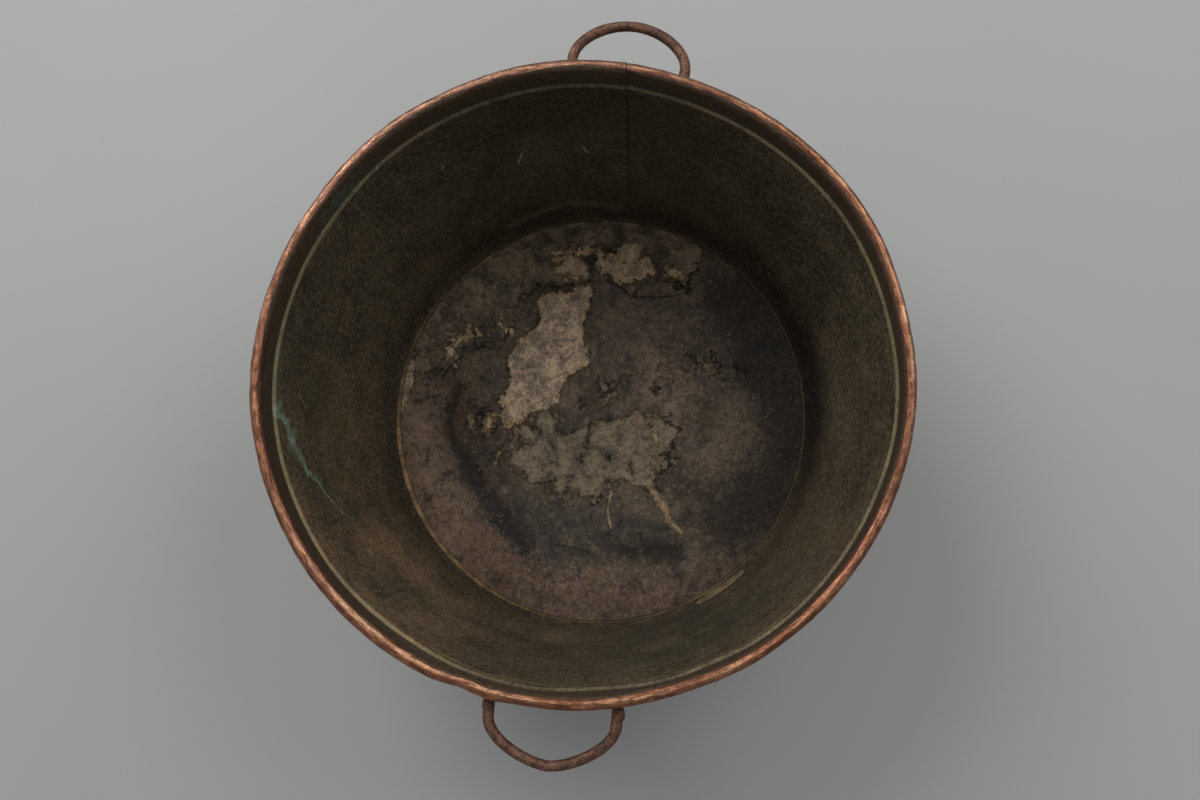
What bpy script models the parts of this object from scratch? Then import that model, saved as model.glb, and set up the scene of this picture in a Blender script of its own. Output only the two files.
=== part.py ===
"""Large old copper cauldron with two forged iron bow handles.

Metres, +Z up.  The origin is the centre of the underside.  The wall's lap seam and the back
handle are at +Y, and the front handle is at -Y.  Azimuths run clockwise from +Y, seen from above.
"""

import math

import bmesh
import bpy
import numpy as np
from mathutils import Vector

# Whole cauldron
RIM_DIAMETER = 0.680
HEIGHT = 0.350
SHEET = 0.0016
GAP = 0.0003
COLUMNS = 72
STEP = 2 * math.pi / COLUMNS

# Floor and the rounded foot of the wall (radii of the inside face)
FLOOR_SHEET = 0.0020
FOOT_RADIUS = 0.2710
FOOT_CLEARANCE = 0.0018
FOOT_RISE = 0.0200
FOOT_FLARE = 0.0090
JOGGLE_BOTTOM = 0.0330

# Wall, ledge and neck (radii of the inside face)
WALL_TOP_RADIUS = 0.3238
LEDGE_BOTTOM = 0.3112
LEDGE_TOP = 0.3140
LEDGE_BEND = 0.0050
BELLY = 0.0030

# Rolled rim and the wire inside it
ROLL_RADIUS = 0.0063
ROLL_END = math.radians(-125)
ROLL_STEPS = 10
WIRE_RADIUS = 0.0042
WIRE_SIDES = 8

# Lap seam: the sheet's last columns pass outside its first ones, from LAP_BOTTOM to LAP_TOP.
# Below JOGGLE_BOTTOM and above the neck's last row the two edges meet end to end.
LAP_COLUMNS = 2
LAP_BOTTOM = 0.0440
LAP_TOP = 0.3180
SEAM_SLIT = 0.0006

# Handles: each is a rod bow between two leaf-shaped pads riveted to the neck
ROD_RADIUS = 0.0057
ROD_SIDES_RESOLUTION = 4
HANDLE_HEIGHT = 0.3268
PAD_THICKNESS = 0.0040
PAD_HALF_HEIGHT = 0.0075
PAD_TIP_HALF_HEIGHT = 0.0030
PAD_HEEL = math.radians(1.8)
PAD_LENGTH = math.radians(9.6)
PAD_COLUMNS = 13
PAD_ROWS = 5
RIVET_SPOTS = (math.radians(3.1), math.radians(6.1))
RIVET_SHANK = 0.0028
RIVET_STEPS = 12
INNER_HEAD = 0.0006
INNER_HEAD_GAP = 0.0009
HOLE_RADIUS = RIVET_SHANK + GAP

# Repair patch on the foot of the wall
PATCH_START = math.radians(128.5)
PATCH_END = math.radians(144.0)
PATCH_BOTTOM = 0.0085
PATCH_TOP = 0.0235
PATCH_THICKNESS = 0.0012
PATCH_CLEARANCE = 0.0007
PATCH_COLUMNS = 16
PATCH_ROWS = 4

# Radii and heights that follow from the driving dimensions
NECK_RADIUS = RIM_DIAMETER / 2 - 2 * ROLL_RADIUS
NECK_OUTSIDE = NECK_RADIUS + SHEET
ROLL_CENTRE = (NECK_RADIUS + ROLL_RADIUS, HEIGHT - ROLL_RADIUS)
PAD_INSIDE = NECK_OUTSIDE + GAP
PAD_OUTSIDE = PAD_INSIDE + PAD_THICKNESS

HANDLES = {
    "back": {
        "turn": 0.0,
        "spacing": 0.1230,
        "reach": 0.3935,
        "straight": 0.004,
        "shoulder": 0.022,
        "crown": (0.032, 0.0),
    },
    "front": {
        "turn": math.radians(175.4),
        "spacing": 0.1286,
        "reach": 0.3995,
        "straight": 0.010,
        "shoulder": 0.022,
        "crown": (0.024, 0.0012),
    },
}

COPPER_INSIDE = (0.105, 0.080, 0.052, 1.0)
COPPER_FLOOR = (0.120, 0.098, 0.085, 1.0)
COPPER_BRIGHT = (0.380, 0.170, 0.095, 1.0)
BRASS_BRAZE = (0.270, 0.190, 0.095, 1.0)
OLD_SOLDER = (0.230, 0.180, 0.135, 1.0)
FORGED_IRON = (0.110, 0.070, 0.050, 1.0)


# ---------------------------------------------------------------- scene helpers


def clear_scene():
    """Removes what the scene holds, so that the part stands alone."""
    for item in list(bpy.data.objects):
        bpy.data.objects.remove(item, do_unlink=True)


def new_collection(name):
    collection = bpy.data.collections.new(name)
    bpy.context.scene.collection.children.link(collection)
    return collection


def new_object(name, data, collection, parent=None):
    item = bpy.data.objects.new(name, data)
    collection.objects.link(item)
    item.parent = parent
    return item


def finish(item, colour, roughness, metallic=1.0):
    """Gives an object its own material."""
    material = bpy.data.materials.new(item.name)
    material.use_nodes = True
    shader = material.node_tree.nodes["Principled BSDF"]
    shader.inputs["Base Color"].default_value = colour
    shader.inputs["Roughness"].default_value = roughness
    shader.inputs["Metallic"].default_value = metallic
    item.data.materials.append(material)


def smooth(mesh, degrees=35):
    mesh.shade_smooth()
    mesh.set_sharp_from_angle(angle=math.radians(degrees))


def hide_cutter(item):
    item.hide_render = True
    item.display_type = "WIRE"


def add_boolean(item, other, operation):
    modifier = item.modifiers.new(f"{operation.lower()} {other.name}", "BOOLEAN")
    modifier.operation = operation
    modifier.solver = "EXACT"
    modifier.object = other


def add_solidify(item, thickness, outward=1.0):
    modifier = item.modifiers.new("thickness", "SOLIDIFY")
    modifier.thickness = thickness
    modifier.offset = outward
    modifier.use_even_offset = True


def add_screw(item, steps):
    modifier = item.modifiers.new("turn", "SCREW")
    modifier.axis = "Z"
    modifier.steps = steps
    modifier.render_steps = steps
    modifier.use_merge_vertices = True
    modifier.merge_threshold = 0.00001


def polar(radius, azimuth, z):
    return (radius * math.sin(azimuth), radius * math.cos(azimuth), z)


def grid_mesh(name, rows):
    """An open sheet through rows of points; a None leaves a hole in the sheet."""
    points = []
    index = {}
    for i, row in enumerate(rows):
        for j, point in enumerate(row):
            if point is not None:
                index[i, j] = len(points)
                points.append(point)
    faces = []
    for i in range(len(rows) - 1):
        for j in range(len(rows[i]) - 1):
            corners = [(i, j), (i, j + 1), (i + 1, j + 1), (i + 1, j)]
            if all(corner in index for corner in corners):
                faces.append([index[corner] for corner in corners])
    mesh = bpy.data.meshes.new(name)
    mesh.from_pydata(points, [], faces)
    return mesh


def turned_object(name, profile, collection, steps, parent=None, closed=False):
    """A solid of revolution from a profile that runs down its outer side."""
    points = [(x, 0.0, z) for x, z in profile]
    edges = [(k, k + 1) for k in range(len(points) - 1)]
    if closed:
        edges.append((len(points) - 1, 0))
    mesh = bpy.data.meshes.new(name)
    mesh.from_pydata(points, edges, [])
    item = new_object(name, mesh, collection, parent)
    add_screw(item, steps)
    return item


# ---------------------------------------------------------------- the wall's profile


def fillet(before, corner, after, radius, steps):
    """Points of an arc that rounds a corner of a profile."""
    corner = Vector(corner)
    back = (Vector(before) - corner).normalized()
    ahead = (Vector(after) - corner).normalized()
    half = back.angle(ahead) / 2
    centre = corner + (back + ahead).normalized() * (radius / math.sin(half))
    start = corner + back * (radius / math.tan(half)) - centre
    end = corner + ahead * (radius / math.tan(half)) - centre
    return [tuple(centre + start.slerp(end, k / steps) * radius) for k in range(steps + 1)]


def foot_profile(steps=3):
    """The rounded foot: it leaves the floor at a slant and turns up into the wall."""
    bottom = Vector((FOOT_RADIUS, FLOOR_SHEET + FOOT_CLEARANCE))
    middle = bottom + Vector((0.70 * FOOT_FLARE, 0.36 * FOOT_RISE))
    top = bottom + Vector((FOOT_FLARE, FOOT_RISE))
    points = []
    for k in range(steps + 1):
        t = k / steps
        points.append(tuple(bottom * (1 - t) ** 2 + middle * (2 * t * (1 - t)) + top * t**2))
    return points


def wall_profile():
    """Inside face of the sheet from the foot up and round the roll, as (radius, height)."""
    foot = foot_profile()
    start = foot[-1]
    ledge_in = (WALL_TOP_RADIUS, LEDGE_BOTTOM)
    ledge_out = (NECK_RADIUS, LEDGE_TOP)
    neck_top = (NECK_RADIUS, ROLL_CENTRE[1])
    wall = []
    for z in (JOGGLE_BOTTOM, LAP_BOTTOM, 0.115, 0.190, 0.265):
        t = (z - start[1]) / (LEDGE_BOTTOM - start[1])
        radius = start[0] + t * (WALL_TOP_RADIUS - start[0]) + BELLY * math.sin(math.pi * t)
        wall.append((radius, z))
    ledge = fillet(wall[-1], ledge_in, ledge_out, LEDGE_BEND, 2)
    ledge += fillet(ledge_in, ledge_out, neck_top, LEDGE_BEND, 2)[1:]
    neck = [(NECK_RADIUS, LAP_TOP), (NECK_RADIUS, LAP_TOP + 0.0110)]
    roll = []
    for k in range(ROLL_STEPS + 1):
        angle = math.pi + (ROLL_END - math.pi) * k / ROLL_STEPS
        roll.append(
            (
                ROLL_CENTRE[0] + ROLL_RADIUS * math.cos(angle),
                ROLL_CENTRE[1] + ROLL_RADIUS * math.sin(angle),
            )
        )
    return foot + wall + ledge + neck + roll


def offset_profile(profile, distance):
    """The profile moved sideways by distance, away from the cauldron's inside."""
    points = np.array(profile)
    along = np.diff(points, axis=0)
    along /= np.linalg.norm(along, axis=1)[:, None]
    side = np.stack([along[:, 1], -along[:, 0]], axis=1)
    before = np.vstack([side[:1], side])
    after = np.vstack([side, side[-1:]])
    mitre = before + after
    mitre /= (1 + np.sum(before * after, axis=1))[:, None]
    return [tuple(point) for point in points + mitre * distance]


# ---------------------------------------------------------------- the sheet-metal pieces


def make_wall(collection):
    """One sheet, rolled up and lapped on itself at +Y, with its top edge rolled outwards."""
    inner = wall_profile()
    lapped = offset_profile(inner, SHEET + GAP)
    slit = SEAM_SLIT / RIM_DIAMETER * 2
    azimuths = [-k * STEP for k in range(COLUMNS)]
    azimuths.append(slit - 2 * math.pi)
    azimuths += [-2 * math.pi - k * STEP for k in range(1, LAP_COLUMNS + 1)]
    lap_rows = [k for k, point in enumerate(inner) if LAP_BOTTOM <= point[1] <= LAP_TOP]
    rows = []
    for i, (radius, z) in enumerate(inner):
        row = [polar(radius, azimuth, z) for azimuth in azimuths[:COLUMNS]]
        in_lap = lap_rows[0] <= i <= lap_rows[-1]
        outer_radius, outer_z = lapped[i] if in_lap else (radius, z)
        row.append(polar(outer_radius, azimuths[COLUMNS], outer_z))
        for azimuth in azimuths[COLUMNS + 1 :]:
            row.append(polar(outer_radius, azimuth, outer_z) if in_lap else None)
        rows.append(row)
    wall = new_object("wall_sheet", grid_mesh("wall_sheet", rows), collection)
    smooth(wall.data)
    add_solidify(wall, SHEET)
    finish(wall, COPPER_INSIDE, 0.55)
    return wall


def make_floor(collection):
    """The bottom: a flat disc whose edge is turned up around the outside of the wall's foot."""
    inner = wall_profile()
    guide = inner[: len(foot_profile()) + 1]
    inside = offset_profile(guide, SHEET + GAP)[:-1]
    outside = offset_profile(guide, SHEET + GAP + FLOOR_SHEET)[:-1]
    bend = (outside[0][0] - 0.0012, 0.0)
    profile = [(0.0, FLOOR_SHEET), (inside[0][0] - 0.0010, FLOOR_SHEET)]
    profile += inside
    profile += reversed(outside)
    profile += [bend, (0.0, 0.0)]
    floor = turned_object("floor_sheet", profile, collection, COLUMNS)
    smooth(floor.data)
    finish(floor, COPPER_FLOOR, 0.60)
    return floor


def make_braze(collection):
    """The fillet of brass that closes the joint between the floor and the wall's foot."""
    foot = offset_profile(foot_profile(), -GAP)
    top = foot[1]
    bed = FLOOR_SHEET + GAP
    heel = (foot[0][0] - 0.0002, bed)
    toe = (heel[0] - 0.0038, bed)
    crest = ((top[0] + toe[0]) / 2 - 0.0001, (top[1] + toe[1]) / 2 - 0.0006)
    profile = [top, foot[0], heel, toe, crest]
    braze = turned_object("floor_braze", profile, collection, COLUMNS, closed=True)
    smooth(braze.data)
    finish(braze, BRASS_BRAZE, 0.45)
    return braze


def make_rim_wire(collection):
    """The iron wire that the rim is rolled around."""
    profile = []
    for k in range(WIRE_SIDES):
        angle = math.pi / 2 - 2 * math.pi * k / WIRE_SIDES
        x = ROLL_CENTRE[0] + WIRE_RADIUS * math.cos(angle)
        z = ROLL_CENTRE[1] + WIRE_RADIUS * math.sin(angle)
        profile.append((x, z))
    wire = turned_object("rim_wire", profile, collection, COLUMNS, closed=True)
    smooth(wire.data)
    finish(wire, FORGED_IRON, 0.70)
    return wire


def make_patch(collection):
    """A strip of old solder along the foot of the wall, with rounded ends."""
    guide = offset_profile(wall_profile(), -PATCH_CLEARANCE)
    heights = [point[1] for point in guide[:7]]
    radii = [point[0] for point in guide[:7]]
    middle = (PATCH_BOTTOM + PATCH_TOP) / 2
    half_height = (PATCH_TOP - PATCH_BOTTOM) / 2
    rows = []
    for i in range(PATCH_ROWS + 1):
        row = []
        for j in range(PATCH_COLUMNS + 1):
            t = j / PATCH_COLUMNS
            swell = (1 - abs(2 * t - 1) ** 4) ** 0.5
            z = middle + half_height * (2 * i / PATCH_ROWS - 1) * (0.3 + 0.7 * swell)
            azimuth = PATCH_END + (PATCH_START - PATCH_END) * t
            row.append(polar(float(np.interp(z, heights, radii)), azimuth, z))
        rows.append(row)
    patch = new_object("foot_patch", grid_mesh("foot_patch", rows), collection)
    smooth(patch.data)
    add_solidify(patch, PATCH_THICKNESS, -1.0)
    finish(patch, OLD_SOLDER, 0.50)
    return patch


# ---------------------------------------------------------------- handles and rivets


def bow_path(spec, samples=10):
    """Centre line of a bow in its own frame: +Y points away from the cauldron."""
    side = spec["spacing"] / 2
    root = math.sqrt((PAD_INSIDE + PAD_THICKNESS / 2) ** 2 - side**2)
    start = Vector((side, RIM_DIAMETER / 2 + spec["straight"]))
    shoulder = start + Vector((0.0, spec["shoulder"]))
    top = Vector((0.0, spec["reach"] - ROD_RADIUS))
    crown = top + Vector((spec["crown"][0], -spec["crown"][1]))
    half = [Vector((side, root))]
    for k in range(samples + 1):
        t = k / samples
        half.append(
            start * (1 - t) ** 3
            + shoulder * (3 * t * (1 - t) ** 2)
            + crown * (3 * t**2 * (1 - t))
            + top * t**3
        )
    path = [(point.x, point.y) for point in half]
    path += [(-x, y) for x, y in reversed(path[:-1])]
    return path


def rod_mesh(name, path, collection):
    """A round rod along a path, as a closed mesh that can be joined and cut."""
    curve = bpy.data.curves.new(name, "CURVE")
    curve.dimensions = "3D"
    curve.bevel_depth = ROD_RADIUS
    curve.bevel_resolution = ROD_SIDES_RESOLUTION
    curve.use_fill_caps = True
    spline = curve.splines.new("POLY")
    spline.points.add(len(path) - 1)
    for point, (x, y) in zip(spline.points, path):
        point.co = (x, y, 0.0, 1.0)
    guide = new_object(name + "_path", curve, collection)
    bpy.context.view_layer.update()
    evaluated = guide.evaluated_get(bpy.context.evaluated_depsgraph_get())
    mesh = bpy.data.meshes.new_from_object(evaluated)
    mesh.name = name
    work = bmesh.new()
    work.from_mesh(mesh)
    bmesh.ops.remove_doubles(work, verts=work.verts, dist=0.00001)
    work.to_mesh(mesh)
    work.free()
    bpy.data.objects.remove(guide, do_unlink=True)
    return mesh


def pad_rows(leg_azimuth, side):
    """Outer face of one leaf-shaped pad, from under the leg out to its rounded tip."""
    rows = []
    for i in range(PAD_ROWS):
        row = []
        for j in range(PAD_COLUMNS):
            t = j / (PAD_COLUMNS - 1)
            taper = max(0.0, (t - 0.55) / 0.45)
            reach = math.sqrt(1 - 0.98 * taper**2)
            half = PAD_TIP_HALF_HEIGHT + (PAD_HALF_HEIGHT - PAD_TIP_HALF_HEIGHT) * reach
            z = half * (2 * i / (PAD_ROWS - 1) - 1)
            azimuth = side * (leg_azimuth - PAD_HEEL + (PAD_HEEL + PAD_LENGTH) * t)
            row.append(polar(PAD_INSIDE, azimuth, z))
        rows.append(row if side < 0 else row[::-1])
    return rows


def make_hole_cutter(name, azimuth, collection, parent):
    """A round bar along a rivet's axis, long enough to pierce both the pad and the neck."""
    length = 0.024
    mesh = bpy.data.meshes.new(name)
    work = bmesh.new()
    bmesh.ops.create_cone(
        work,
        cap_ends=True,
        segments=RIVET_STEPS,
        radius1=HOLE_RADIUS,
        radius2=HOLE_RADIUS,
        depth=length,
    )
    work.to_mesh(mesh)
    work.free()
    cutter = new_object(name, mesh, collection, parent)
    cutter.location = polar(NECK_OUTSIDE, azimuth, 0.0)
    cutter.rotation_euler = (-math.pi / 2, 0.0, -azimuth)
    hide_cutter(cutter)
    return cutter


def make_rivet(name, azimuth, collection, parent):
    """A copper rivet: domed head outside the pad, low flat head inside the neck."""
    inner_face = NECK_RADIUS - INNER_HEAD_GAP - PAD_OUTSIDE
    profile = [
        (0.0, 0.0036),
        (0.0032, 0.0031),
        (0.0050, 0.0018),
        (0.0055, 0.0004),
        (RIVET_SHANK, 0.0004),
        (RIVET_SHANK, inner_face),
        (0.0045, inner_face),
        (0.0042, inner_face - INNER_HEAD),
        (0.0, inner_face - INNER_HEAD),
    ]
    rivet = turned_object(name, profile, collection, RIVET_STEPS, parent)
    rivet.location = polar(PAD_OUTSIDE, azimuth, 0.0)
    rivet.rotation_euler = (-math.pi / 2, 0.0, -azimuth)
    smooth(rivet.data)
    finish(rivet, COPPER_BRIGHT, 0.45)
    return rivet


def make_handle(name, spec, parts, cutters):
    """A bow with its two pads and four rivets; returns the cutters for the rivets' holes."""
    frame = new_object(f"{name}_handle_frame", None, parts)
    frame.location = (0.0, 0.0, HANDLE_HEIGHT)
    frame.rotation_euler = (0.0, 0.0, -spec["turn"])
    mesh = rod_mesh(f"handle_{name}", bow_path(spec), cutters)
    handle = new_object(f"handle_{name}", mesh, parts, frame)
    leg_azimuth = math.asin(spec["spacing"] / 2 / (PAD_INSIDE + PAD_THICKNESS / 2))
    holes = []
    number = 0
    for side, side_name in ((-1, "left"), (1, "right")):
        pad_name = f"pad_{name}_{side_name}"
        pad = new_object(pad_name, grid_mesh(pad_name, pad_rows(leg_azimuth, side)), cutters, frame)
        add_solidify(pad, PAD_THICKNESS)
        hide_cutter(pad)
        add_boolean(handle, pad, "UNION")
        for spot in RIVET_SPOTS:
            number += 1
            azimuth = side * (leg_azimuth + spot)
            holes.append(make_hole_cutter(f"hole_{name}_{number}", azimuth, cutters, frame))
            make_rivet(f"rivet_{name}_{number}", azimuth, parts, frame)
    for hole in holes:
        add_boolean(handle, hole, "DIFFERENCE")
    smooth(handle.data)
    finish(handle, FORGED_IRON, 0.60)
    return holes


def main():
    clear_scene()
    parts = new_collection("copper_cauldron")
    cutters = new_collection("cutters")
    wall = make_wall(parts)
    make_floor(parts)
    make_braze(parts)
    make_rim_wire(parts)
    make_patch(parts)
    for name, spec in HANDLES.items():
        for hole in make_handle(name, spec, parts, cutters):
            add_boolean(wall, hole, "DIFFERENCE")
    bpy.context.view_layer.update()


main()
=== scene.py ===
"""Looks of the old copper cauldron: worn sheet, a rolled rim and two forged handles, on a pale floor.

Metres, +Z up.  Azimuths run clockwise from +Y, seen from above.  The lap seam and the back handle
are at azimuth 0.  Every piece is drawn round and true first and then passed through settle(), which
gives the whole cauldron one set of dents, so that the pieces still meet.
"""

import itertools
import math

import bmesh
import bpy
import numpy as np
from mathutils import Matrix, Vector


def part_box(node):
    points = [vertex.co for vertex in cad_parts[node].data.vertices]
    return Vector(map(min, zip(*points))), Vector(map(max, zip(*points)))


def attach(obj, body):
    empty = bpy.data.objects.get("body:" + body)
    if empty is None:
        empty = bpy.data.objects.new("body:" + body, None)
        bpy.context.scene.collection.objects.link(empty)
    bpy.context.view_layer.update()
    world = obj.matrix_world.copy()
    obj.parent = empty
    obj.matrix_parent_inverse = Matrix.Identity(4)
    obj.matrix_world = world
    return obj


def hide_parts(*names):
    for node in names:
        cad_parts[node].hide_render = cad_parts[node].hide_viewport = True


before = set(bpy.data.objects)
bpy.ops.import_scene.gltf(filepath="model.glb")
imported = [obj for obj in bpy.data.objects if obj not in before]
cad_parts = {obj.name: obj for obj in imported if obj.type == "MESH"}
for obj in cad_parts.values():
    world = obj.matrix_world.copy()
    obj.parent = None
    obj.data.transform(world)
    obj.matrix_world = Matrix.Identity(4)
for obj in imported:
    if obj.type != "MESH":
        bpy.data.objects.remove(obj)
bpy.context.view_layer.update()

# Sizes read from the frame
WALL_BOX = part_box("wall_sheet")
WIRE_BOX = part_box("rim_wire")
BACK_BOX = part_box("handle_back")
RIM_RADIUS = WALL_BOX[1][0]
HEIGHT = WALL_BOX[1][2]
WIRE_RADIUS = (WIRE_BOX[1][2] - WIRE_BOX[0][2]) / 2
ROLL_HEIGHT = (WIRE_BOX[1][2] + WIRE_BOX[0][2]) / 2
ROLL_RADIUS = HEIGHT - ROLL_HEIGHT
NECK_RADIUS = RIM_RADIUS - 2 * ROLL_RADIUS
HANDLE_HEIGHT = (BACK_BOX[1][2] + BACK_BOX[0][2]) / 2

# Sheet and gaps
SHEET = 0.0016
GAP = 0.0003
FLOOR_SHEET = 0.0020

# Foot, wall and ledge (radii of the inside face)
FOOT = np.array([0.2710, FLOOR_SHEET + 0.0018])
FOOT_RISE = 0.0200
FOOT_FLARE = 0.0090
WALL_TOP = np.array([0.3238, 0.3112])
LEDGE_OUT = np.array([NECK_RADIUS, 0.3144])
LEDGE_BEND = 0.0022
BELLY = 0.0030

# Rolled rim
ROLL_END = math.radians(-125)

# Lap seam
LAP_TAIL = math.radians(10)
LAP_RAMP = math.radians(4)
LAP_BOTTOM = 0.0440
SEAM_SLIT = 0.0016

# Repair patch: its azimuths
PATCH_START = math.radians(128.5)
PATCH_END = math.radians(144)

# Handles and rivets
ROD_RADIUS = 0.0057
SHOULDER = 0.022
VOXEL = 0.00085
PAD_INSIDE = NECK_RADIUS + SHEET + GAP
PAD_THICKNESS = 0.0040
PAD_HALF_HEIGHT = 0.0075
PAD_TIP_HALF_HEIGHT = 0.0030
PAD_HEEL = math.radians(1.8)
PAD_LENGTH = math.radians(9.6)
RIVET_SHANK = 0.0028
RIVET_HEAD = 0.0055

# Each handle: turn from +Y, width between the legs, straight part past the rim, reach and crown's pull
HANDLES = {
    "back": (0.0, 0.1230, 0.004, 0.3935, (0.032, 0.0)),
    "front": (math.radians(175.4), 0.1286, 0.010, 0.3995, (0.024, -0.0012)),
}

# How far round the rim is from a true circle
OVAL = 0.0028
OVAL_SKEW = 0.0006

# Dents: azimuth and half-width in degrees, depth (outwards is positive), middle height, half-height
DENTS = [
    (292, 15, -0.0024, 0.340, 0.16),
    (24, 14, -0.0018, 0.340, 0.16),
    (72, 13, -0.0018, 0.350, 0.10),
    (342, 18, 0.0022, 0.350, 0.18),
    (157, 9, -0.0020, 0.345, 0.10),
    (252, 11, 0.0014, 0.345, 0.12),
    (200, 12, 0.0011, 0.350, 0.08),
    (312, 8, 0.0012, 0.350, 0.10),
    (168, 6, -0.0028, 0.312, 0.018),
    (146, 5, -0.0016, 0.312, 0.020),
    (207, 8, -0.0020, 0.308, 0.016),
    (84, 10, 0.0014, 0.312, 0.030),
    (190, 2.6, -0.0017, 0.348, 0.012),
]

# Camera, lights (name, place, size, power) and studio floor
CAMERA_PLACE = (0.1201, -0.1735, 1.4395)
CAMERA_TURN = (8.327, 3.600, 8.854)
CAMERA_LENS = 32.63
LIGHTS = [("key", (1.4, 1.6, 2.5), 1.8, 26), ("fill", (-1.7, 1.5, 2.6), 2.0, 51)]
LIGHT_AIM = Vector((0, 0, 0.1))
WORLD_COLOUR = (0.80, 0.81, 0.83, 1)
WORLD_STRENGTH = 0.42
STAGE_RADIUS = 60.0
STAGE_CORNERS = 96
STAGE_DROP = 0.0002


# ---------------------------------------------------------------- numbers and noise

# Radius and unrolled length scale at which the noise round the rim is read
RING = 0.34
ROUND = 0.30


def smoothstep(low, high, value):
    t = np.clip((value - low) / (high - low), 0.0, 1.0)
    return t * t * (3 - 2 * t)


def lattice_noise(points, seed=0):
    """Smooth noise from -1 to 1 at each row of points."""
    cell = np.floor(points).astype(np.int64)
    part = points - cell
    fade = part * part * (3 - 2 * part)
    total = np.zeros(len(points))
    for corner in itertools.product((0, 1), repeat=3):
        key = (cell + corner) @ np.array([73856093, 19349663, 83492791]) + seed * 7919
        key = (key ^ (key >> 13)) * 1274126177
        value = ((key ^ (key >> 16)) & 0xFFFF) / 32767.5 - 1
        total += value * np.prod(np.where(corner, fade, 1 - fade), axis=1)
    return total


def cloudy(points, size, seed=0, octaves=3):
    """Layered noise, about -1 to 1, whose largest features are size across; shaped like points."""
    flat = points.reshape(-1, 3)
    total = np.zeros(len(flat))
    for k in range(octaves):
        total += lattice_noise(flat / size * 2**k + 17.3 * k, seed + k) / 2**k
    return (total / 1.5).reshape(points.shape[:-1])


def around(azimuth, centre, half_width):
    """1 at a centre azimuth, in degrees, falling smoothly to 0 at half_width on both sides."""
    away = np.abs((np.degrees(azimuth) - centre + 180) % 360 - 180)
    return 1 - smoothstep(0, half_width, away)


def by_azimuth(azimuth, spots):
    """Values between those given at azimuths in degrees."""
    return np.interp(np.degrees(azimuth) % 360, *zip(*spots), period=360)


def circle(count):
    return np.arange(count) * math.tau / count


def polar(radius, azimuth, z):
    return np.stack([radius * np.sin(azimuth), radius * np.cos(azimuth), z + 0 * azimuth], axis=-1)


def settle(points):
    """Moves round and true points to where the dented cauldron has them."""
    x, y, z = points[..., 0], points[..., 1], points[..., 2]
    radius = np.hypot(x, y)
    azimuth = np.arctan2(x, y)
    rise = smoothstep(0.02, HEIGHT, z)
    shift = rise * (OVAL_SKEW * np.sin(2 * azimuth) - OVAL * np.cos(2 * azimuth))
    for centre, half_width, depth, middle, half_height in DENTS:
        reach = 1 - smoothstep(0, half_height, np.abs(z - middle))
        shift += depth * reach * around(azimuth, centre, 2 * half_width)
    shift += 0.0009 * rise * cloudy(polar(RING, azimuth, z), 0.11, 3, 2)
    lift = 0.0011 * rise**2 * cloudy(polar(RING, azimuth, 0), 0.16, 9, 2) - 0.0010 * rise**2
    factor = (radius + shift) / np.maximum(radius, 1e-6)
    return np.stack([x * factor, y * factor, z + lift], axis=-1)


# ---------------------------------------------------------------- the sheet's profile


def fillet(before, corner, after, radius, steps):
    """Points of an arc that rounds a corner of a profile."""
    back = (before - corner) / np.linalg.norm(before - corner)
    ahead = (after - corner) / np.linalg.norm(after - corner)
    half = math.acos(float(back @ ahead)) / 2
    bisector = (back + ahead) / np.linalg.norm(back + ahead)
    centre = corner + bisector * (radius / math.sin(half))
    start = corner + back * (radius / math.tan(half)) - centre
    end = corner + ahead * (radius / math.tan(half)) - centre
    sweep = math.pi - 2 * half
    turns = [sweep * k / steps for k in range(steps + 1)]
    return [centre + (start * math.sin(sweep - a) + end * math.sin(a)) / math.sin(sweep) for a in turns]


def foot_profile(steps=8):
    t = np.linspace(0, 1, steps + 1)[:, None]
    middle = FOOT + np.array([0.70 * FOOT_FLARE, 0.36 * FOOT_RISE])
    top = FOOT + np.array([FOOT_FLARE, FOOT_RISE])
    return FOOT * (1 - t) ** 2 + middle * (2 * t * (1 - t)) + top * t**2


def ledge_bend():
    return fillet(WALL_TOP, LEDGE_OUT, np.array([NECK_RADIUS, ROLL_HEIGHT]), LEDGE_BEND, 6)


def wall_rows(steps=50):
    """Inside face of the wall, from the foot up to the crease under the neck."""
    rows = list(foot_profile())
    start = rows[-1]
    for k in range(1, steps + 1):
        t = 0.988 * k / steps
        rows.append(start + (WALL_TOP - start) * t + np.array([BELLY * math.sin(math.pi * t), 0]))
    rows += fillet(rows[-1], WALL_TOP, LEDGE_OUT, LEDGE_BEND, 5)
    return np.array(rows + ledge_bend()[:4])


def rim_rows(neck_steps=7, roll_steps=34):
    """Inside face of the neck and the roll, from the crease under the neck; also each row's roll angle."""
    rows = ledge_bend()[3:]
    bottom = rows[-1][1]
    for k in range(1, neck_steps):
        rows.append(np.array([NECK_RADIUS, bottom + (ROLL_HEIGHT - bottom) * k / neck_steps]))
    angles = [math.pi] * len(rows)
    centre = np.array([NECK_RADIUS + ROLL_RADIUS, ROLL_HEIGHT])
    for k in range(roll_steps + 1):
        angle = math.pi + (ROLL_END - math.pi) * k / roll_steps
        rows.append(centre + ROLL_RADIUS * np.array([math.cos(angle), math.sin(angle)]))
        angles.append(angle)
    return np.array(rows), np.array(angles)


def side_of(profile):
    """Unit vectors square to a profile, pointing to the side that is seen from inside."""
    along = np.gradient(profile, axis=0)
    along /= np.linalg.norm(along, axis=1)[:, None]
    return np.stack([-along[:, 1], along[:, 0]], axis=1)


# ---------------------------------------------------------------- objects and meshes


def add_object(name, data):
    item = bpy.data.objects.new(name, data)
    bpy.context.scene.collection.objects.link(item)
    return item


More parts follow.
